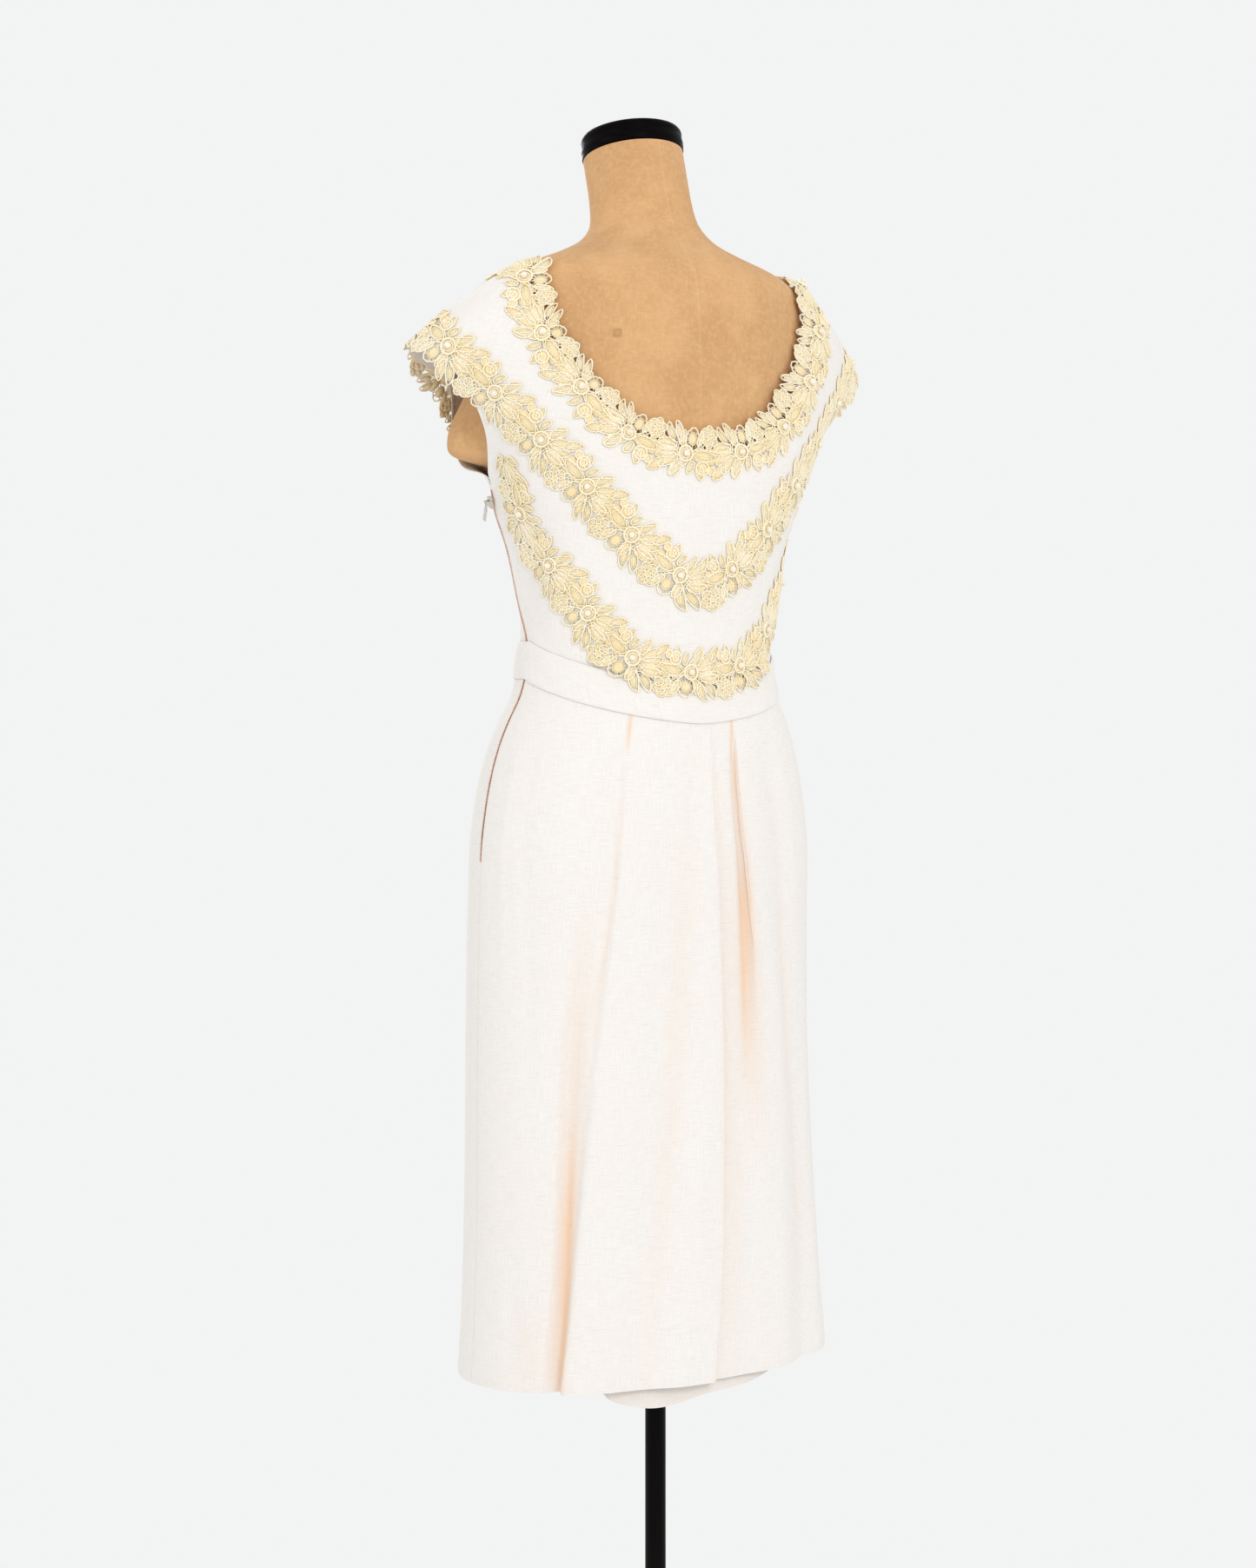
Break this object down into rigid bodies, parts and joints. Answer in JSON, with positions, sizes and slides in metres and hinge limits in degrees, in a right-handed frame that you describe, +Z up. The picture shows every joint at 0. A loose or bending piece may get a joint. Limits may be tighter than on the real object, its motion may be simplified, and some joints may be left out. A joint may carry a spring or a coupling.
{
  "type": "cocktail dress and dress form",
  "caption": "Fitted knee-length linen sheath dress with a wide scooped back, cap shoulders, lace rows and a pleated back, on a limbless dress form with a pole stand.",
  "frame": {"origin": "on the floor under the pole, at the middle of the base's underside", "axes": "+Z up along the pole, -Y the way the dress faces, +X the wearer's left, where the zip is"},
  "size_m": [0.4823, 0.34, 1.6134],
  "materials": {
    "linen": "off-white slubby linen, matt",
    "lace": "pale yellow guipure lace, matt",
    "zip_tape": "woven off-white tape",
    "zip_enamel": "off-white enamel, satin",
    "form_canvas": "tan canvas over a stiff shell, matt, mottled",
    "stand_black": "black paint, satin"
  },
  "bodies": {
    "dress_and_form": {"form_torso": "form_canvas", "neck_cap": "stand_black", "stand_flange": "stand_black", "stand_pole": "stand_black", "stand_base": "stand_black", "skirt_back": "linen", "skirt_front": "linen", "pleat_underlay": "linen", "waist_belt": "linen", "bodice_back": "linen", "bodice_front": "linen", "lace_neck_back": "lace", "lace_neck_front": "lace", "lace_mid_back": "lace", "lace_mid_front": "lace", "lace_low_back": "lace", "lace_low_front": "lace", "zip_tape": "zip_tape", "zip_slider": "zip_enamel"},
    "pull_tab": {"zip_pull": "zip_enamel"}
  },
  "joints": [
    {"name": "pull_tab_swing", "type": "hinge", "parent": "dress_and_form", "child": "pull_tab", "pos_m": [0.15583, -0.03607, 1.2559], "axis": [-0.0634, -0.9511, 0.3022], "range_deg": [0, 130]}
  ]
}
